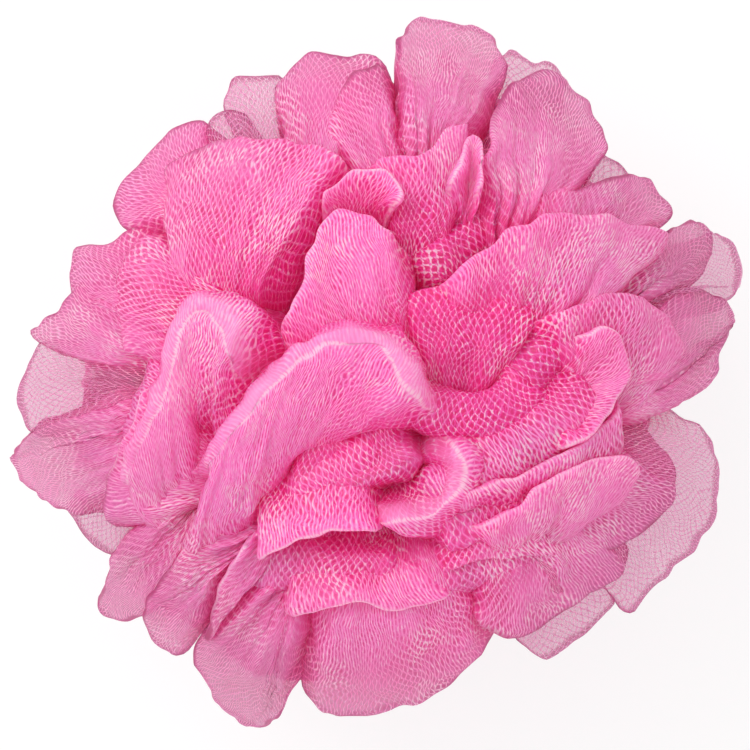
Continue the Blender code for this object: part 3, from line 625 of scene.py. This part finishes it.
# The left ruffles are folds of the same tube that come to points at the edge of the picture, over thin ones
# that let the white through.
LEFT_RUFFLES = (
    ("left_upper", -2.5, 12, 0.2,
     ((-57, 10), (-59.3, 17), (-59.7, 22), (-58.8, 25.5), (-55, 25.5), (-51, 26.7), (-47, 28.8), (-41, 31)),
     ((-50, 8), (-46, 16), (-39, 23))),
    ("left_shoulder", -1, 8, 0.3,
     ((-46, -2), (-48.5, 5), (-50.3, 11), (-51, 17), (-49.5, 22.5), (-45, 27), (-38, 30)),
     ((-39, -2), (-37, 7), (-31, 13), (-24, 17))),
    ("left_tab", -2, 13, 0.3,
     ((-65, 3), (-67.6, 8.3), (-65, 10.4), (-62, 13), (-59, 16.4), (-55, 18.5), (-50, 18)),
     ((-56, 1), (-51, 6), (-46, 11))),
    ("left_lobe", -3, 14, 0.3,
     ((-62, 9), (-66.6, 5), (-69, 0.5), (-70.2, -4), (-69.6, -8), (-68, -11), (-62, -14)),
     ((-54, 5), (-53, -3), (-54, -9))),
    ("left_point", -1, 11, 0.3,
     ((-63, -6), (-68.5, -11), (-70.5, -14), (-72.2, -17), (-70.2, -20.5), (-66.5, -23.7), (-62, -25.7),
      (-56, -28), (-49, -31)),
     ((-53, -3), (-50, -10), (-48, -17), (-45, -23))),
    ("left_skirt", -6, 16, 0.1,
     ((-63, -22), (-60.3, -27.5), (-57.7, -31), (-54, -34), (-50.5, -35.5), (-44, -34)),
     ((-52, -18), (-46, -23))),
    ("lower_left_point", -2, 12, 0.3,
     ((-49, -28), (-51.4, -36), (-53.2, -41), (-54.6, -45), (-53.4, -47.5), (-50, -48.1), (-45.5, -48),
      (-40, -46)),
     ((-43, -25), (-40, -30), (-35, -33))),
    ("left_ridge", 2, 9, 0.8,
     ((-42.5, 3), (-45, -4.5), (-48, -11), (-50.5, -17), (-52.4, -23), (-52.8, -29), (-51, -35)),
     ((-36, -6), (-36, -14), (-38, -22), (-40, -30))),
    ("lower_left_lobe", 0, 10, 0.8,
     ((-24, -27), (-32, -30.5), (-37, -34), (-41, -38.5), (-43.7, -43), (-45.4, -48), (-44.5, -52),
      (-41, -54.8), (-37.5, -54.8), (-34, -51)),
     ((-22, -27), (-27, -33), (-30, -38), (-30, -42))),
)
ruffle_group("ruffles_left", LEFT_RUFFLES, sheer_netting)

# The lower ruffles hang down from the middle ones like aprons, in folds of the same tube with two lips
# painted pale as painted highlights.
LOWER_RUFFLES = (
    ("bottom_drape", 1, 9, 0.9,
     ((-20, -30), (-25.5, -34), (-29, -39), (-30.8, -44), (-32, -49), (-35, -53.5), (-37, -54)),
     ((-16, -24), (-20, -31), (-23, -38))),
    ("bottom_point", -2, 11, 0.35,
     ((-28, -46), (-34.5, -51.5), (-35.7, -56), (-33.7, -61), (-30, -66.5), (-26.5, -69.7), (-24, -70.4),
      (-20, -68.1), (-16, -65.5), (-11, -66)),
     ((-25, -42), (-22, -47), (-18, -48), (-12, -44))),
    ("bottom_apron", -2.5, 10, 0.3,
     ((-19, -63), (-15, -65.6), (-11, -66.4), (-5, -67.1), (1, -66.5), (7, -64.9), (12, -62.2), (16, -59.7),
      (20, -56), (24, -53), (29, -50)),
     ((-14, -45), (-2, -44), (9, -43), (20, -40))),
    ("bottom_lip", 2, 17, 0.9,
     ((-22, -43), (-18, -47), (-14, -46.2), (-9, -45.2), (-4, -44.6), (2, -45.2), (8, -45), (14, -43),
      (21, -41)),
     ((-20, -33), (-10, -31), (0, -32), (11, -34))),
    ("bottom_right_tab", -5, 15, 0.2,
     ((25, -48), (30, -53.7), (33, -55.7), (36.5, -54.3), (41, -50.3), (45, -46.9), (46.7, -44), (43, -39)),
     ((26, -40), (32, -38), (37, -34))),
    ("lower_right_fold", 0, 10, 0.3,
     ((2, -41), (11, -38.5), (20, -36.5), (29, -35.5), (38, -35), (46, -34), (53, -30), (58, -25),
      (60.5, -18), (60, -9)),
     ((6, -34), (18, -30), (30, -28), (42, -25), (50, -18), (53, -10))),
    ("lower_right_skirt", -1, 12, 0.3,
     ((14, -43), (21, -48.5), (28, -51.7), (34, -48.3), (40, -44), (46, -40.5), (51, -35), (54, -29)),
     ((17, -35), (25, -33), (34, -30), (42, -27))),
)
ruffle_group("ruffles_lower", LOWER_RUFFLES, sheer_netting)

# The right ruffles are the thinnest folds of the tube: two of them are a single layer of net, drawn out wide.
RIGHT_RUFFLES = (
    ("far_right_net", -2, 13, 0.3,
     ((53, 23), (57.5, 27.7), (60, 29.6), (62.5, 30.3), (65, 29.8), (66.6, 27), (66.2, 23.5), (64.5, 19.5),
      (60, 16)),
     ((50, 20), (54, 17), (55, 14))),
    ("far_right_lobe", -5, 15, 0.2,
     ((61, 26), (66.5, 28.2), (69.5, 28), (72, 25), (73.2, 20.8), (72.4, 17.5), (70, 14.3), (64, 11)),
     ((57, 21), (57, 16), (58, 11))),
    ("right_point", -1, 11, 0.3,
     ((52, 12), (58, 16), (62, 17), (66, 16.4), (69, 14.4), (71.6, 11.2), (69.7, 8.5), (68, 4.5), (67, 0),
      (65.5, -4), (63, -10)),
     ((48, 7), (50, 1), (51, -5), (51, -11))),
    ("lower_right_net", -3, 12, 0.3,
     ((62, -4), (65.5, -10), (67, -14.5), (67.6, -20), (67.4, -25), (65.9, -30), (62.2, -34.5),
      (57.7, -38.7), (53.7, -42.7), (50.6, -46.3), (45, -43)),
     ((54, -8), (54, -16), (51, -23), (46, -29), (40, -33))),
)
ruffle_group("ruffles_right", RIGHT_RUFFLES, sheer_netting)

# Between the ruffles the tube also lies in broad round folds, puffed up rather than pressed flat. For each:
# its name, how far it stands above the ball and its walls dip below it (mm), how pale it is painted as a
# painted highlight on its crest, half its breadth (mm), and the points along its ridge (mm).
BROAD_MIDDLE_SHARE = 0.95
BROAD_FOLDS = (
    ("bowl_front", -2, 14, 0.0, 5.5, ((-1, 3), (4, -2), (10, -6.5), (17, -8.5), (24, -7), (30, -2), (34, 4.5))),
    ("bowl_end", -4, 14, 0.0, 5.0, ((22, -6), (28, -2), (33, 3), (38, 8), (42, 12))),
    ("wing_back", -5, 14, 0.0, 4.5, ((7, 16), (13, 22), (18, 27), (24, 31), (30, 33))),
    ("tongue", 0, 14, 0.0, 5.5, ((4, -29), (14, -22), (23, -17.5), (31, -12.5), (38, -6.5), (43, 0), (46, 5))),
    ("second_tongue", 0, 14, 0.0, 4.5, ((6, -33), (16, -29.5), (26, -26), (36, -21.5), (43, -18), (48, -17.5))),
    ("third_tongue", -1, 14, 0.0, 5.0, ((4, -40), (15, -38.5), (26, -35), (37, -31.5), (46, -26.5), (53, -19))),
    ("left_body", -1, 14, 0.0, 6.0, ((-47, -22), (-44, -12), (-40, -2), (-37, 6))),
    ("hollow_fold", -2, 14, 0.0, 5.0, ((-24, -30), (-17, -25), (-9, -19), (-1, -15), (6, -12))),
    ("lower_fold", -2, 14, 0.0, 5.0, ((-30, -36), (-20, -37), (-10, -37), (0, -37.5), (10, -36))),
)
netting_piece(
    "ruffles_broad",
    [
        ruffle_sheet(
            [on_ball(x, y, lift) for x, y in ridge],
            [on_ball(x * BROAD_MIDDLE_SHARE, y * BROAD_MIDDLE_SHARE, -dip) for x, y in ridge],
            paleness, 0.0, seed + 60, COLUMN_STEP, ROWS, breadth * MM,
        )
        for seed, (_, lift, dip, paleness, breadth, ridge) in enumerate(BROAD_FOLDS)
    ],
    dense_netting,
)

# The rest of the tube's ruffles turn every way round the sides and underneath, and more of them fill the ball
# behind those that show. They are placed inside the outline of the ruffles that are seen from above.
SIDE_RUFFLES = 38
SIDE_SEED = 7
SIDE_RADIUS = 0.060
SIDE_INSET = 0.0055
OUTLINE_BEARINGS = 72
SIDE_HALF_WIDTH = 0.032
SIDE_REACH = 0.024
SIDE_SINK = 0.012
SIDE_UNEVEN = 0.003
SIDE_SWAY = 0.006
SIDE_RIM_SHARES = (-1, -0.72, -0.4, 0, 0.4, 0.72, 1)
SIDE_LEVEL = -0.97
SIDE_TOP_HEIGHT = 0.080
SIDE_COLUMN_STEP = 0.0013
SIDE_ROWS = 20
INSIDE_RUFFLES = 36
INSIDE_SHARE = 0.74
INSIDE_LOW_HEIGHT = 0.048
INSIDE_COLUMN_STEP = 0.0018
INSIDE_ROWS = 14


def top_outline():
    """How far the top's ruffles reach out from the middle at each bearing, single layers left aside."""
    reach = [0.0] * OUTLINE_BEARINGS
    for ruffles in (MIDDLE_RUFFLES, UPPER_RUFFLES, LEFT_RUFFLES, LOWER_RUFFLES, RIGHT_RUFFLES):
        for _, lift, _, _, rim, *_ in ruffles:
            if lift <= THIN_BELOW:
                continue
            for point in smooth_curve([on_ball(x, y, lift) for x, y in rim], 60):
                turn = round(math.atan2(point.y, point.x) / math.tau * OUTLINE_BEARINGS)
                bearing = turn % OUTLINE_BEARINGS
                reach[bearing] = max(reach[bearing], point.xy.length)
    return [
        min(reach[bearing - 1], reach[bearing], reach[bearing + 1 - OUTLINE_BEARINGS])
        for bearing in range(OUTLINE_BEARINGS)
    ]


def turned_ruffles(count, size, lowest, highest, seed):
    """The rims and middles of ruffles spread evenly over part of a ball, each turned its own way."""
    draw = random.Random(seed)
    outline = top_outline()
    golden = math.pi * (3 - math.sqrt(5))
    for number in range(count):
        level = lowest + (highest - lowest) * (number + 0.5) / count
        flat = math.sqrt(1 - level * level)
        facing = Vector((flat * math.cos(golden * number), flat * math.sin(golden * number), level))
        turned = facing.orthogonal().normalized()
        turned.rotate(Matrix.Rotation(draw.uniform(0, math.tau), 3, facing))
        across = facing.cross(turned)
        width = SIDE_HALF_WIDTH * draw.uniform(0.8, 1.2)
        reach = SIDE_REACH * draw.uniform(0.8, 1.25)
        sway = draw.uniform(-SIDE_SWAY, SIDE_SWAY)
        pulled_in = SIDE_UNEVEN * draw.random()

        def place(along, up, sink):
            way = (facing * SIDE_RADIUS + turned * along + across * up).normalized()
            bearing = math.atan2(way.y, way.x) / math.tau * OUTLINE_BEARINGS
            before = math.floor(bearing)
            wide = outline[before % OUTLINE_BEARINGS] * (1 + before - bearing)
            wide += outline[(before + 1) % OUTLINE_BEARINGS] * (bearing - before)
            wide = (wide - SIDE_INSET) * size
            spot = core() + Vector((way.x * wide, way.y * wide, way.z * BALL_RISE * size)) * (1 - sink / wide)
            spot.z = max(spot.z, 0.0015)
            return spot

        rim = []
        for share in SIDE_RIM_SHARES:
            up = reach * (1 - share * share) + sway * math.sin(share * math.pi * 1.5)
            rim.append(place(width * share, up, pulled_in))
        middle = [place(width * share * 0.75, -reach * 0.55, SIDE_SINK) for share in (-1, 0, 1)]
        yield rim, middle


side_top = (SIDE_TOP_HEIGHT - CORE_HEIGHT) / BALL_RISE
side_turned = turned_ruffles(SIDE_RUFFLES, 1.0, SIDE_LEVEL, side_top, SIDE_SEED)
side_sheets = [
    ruffle_sheet(rim, middle, 0.3, 0.0, seed + 100, SIDE_COLUMN_STEP, SIDE_ROWS)
    for seed, (rim, middle) in enumerate(side_turned)
]
netting_piece("ruffles_side", side_sheets, dense_netting)
inside_low = (INSIDE_LOW_HEIGHT - CORE_HEIGHT) / BALL_RISE
inside_turned = turned_ruffles(INSIDE_RUFFLES, INSIDE_SHARE, inside_low, -SIDE_LEVEL, SIDE_SEED + 1)
inside_sheets = [
    ruffle_sheet(rim, middle, 0.0, 0.0, seed + 200, INSIDE_COLUMN_STEP, INSIDE_ROWS)
    for seed, (rim, middle) in enumerate(inside_turned)
]
netting_piece("ruffles_inside", inside_sheets, dense_netting)

# The waist is where the whole tube is pulled together: a bundle of tight pleats that the tie goes round,
# spreading again below it.
WAIST_LOW = 0.0125
WAIST_HIGH = 0.044
WAIST_RADIUS = 0.0058
WAIST_FOOT = 0.0085
WAIST_FOOT_TOP = 0.022
WAIST_PLEATS = 18
WAIST_PLEAT_DEPTH = 0.0009
WAIST_AROUND = 216
WAIST_ROWS = 25
WAIST_LOOKS = (0.0, 0.0, 0.6, 0.8)
waist_columns = []
for place in range(WAIST_AROUND + 1):
    angle = math.tau * place / WAIST_AROUND
    waist_column = []
    for row in range(WAIST_ROWS):
        height = WAIST_LOW + (WAIST_HIGH - WAIST_LOW) * row / (WAIST_ROWS - 1)
        spread = max(0.0, (WAIST_FOOT_TOP - height) / (WAIST_FOOT_TOP - WAIST_LOW))
        radius = WAIST_RADIUS + (WAIST_FOOT - WAIST_RADIUS) * spread
        radius -= WAIST_PLEAT_DEPTH * (0.5 - 0.5 * math.cos(angle * WAIST_PLEATS))
        waist_column.append((
            Vector((radius * math.cos(angle), radius * math.sin(angle), height)),
            (angle * WAIST_RADIUS / STRAND_PITCH, height / OPENING_LENGTH), WAIST_LOOKS,
        ))
    waist_columns.append(waist_column)
netting_piece("gathered_waist", [waist_columns], dense_netting)

# The tie is a thin twisted cord, wound three times round the gathered waist and knotted. It is painted
# darker in the hollows of its twist, as painted shade.
CORD_PINKS = ((0.80, 0.26, 0.46), (0.95, 0.52, 0.70))
CORD_LAY = 400.0
twist = Finish("pink cord")
cord_spot = twist.node("ShaderNodeTexCoord", {}).out("Object")
diagonal = {"bands_direction": "DIAGONAL"}
lay = twist.node("ShaderNodeTexWave", diagonal, Vector=cord_spot, Scale=CORD_LAY, Distortion=1.5)
cord_bump = twist.node("ShaderNodeBump", {}, Strength=0.6, Distance=0.0003, Height=lay)
# Painted shade in the hollows of the twist.
cord_colour = twist.blend(lay, *CORD_PINKS)
fibre = twist.node("ShaderNodeBsdfPrincipled", {}, Base_Color=cord_colour, Roughness=0.7, Normal=cord_bump)
tie = bpy.data.objects["tie"]
tie.material_slots[0].material = twist.wear(fibre)
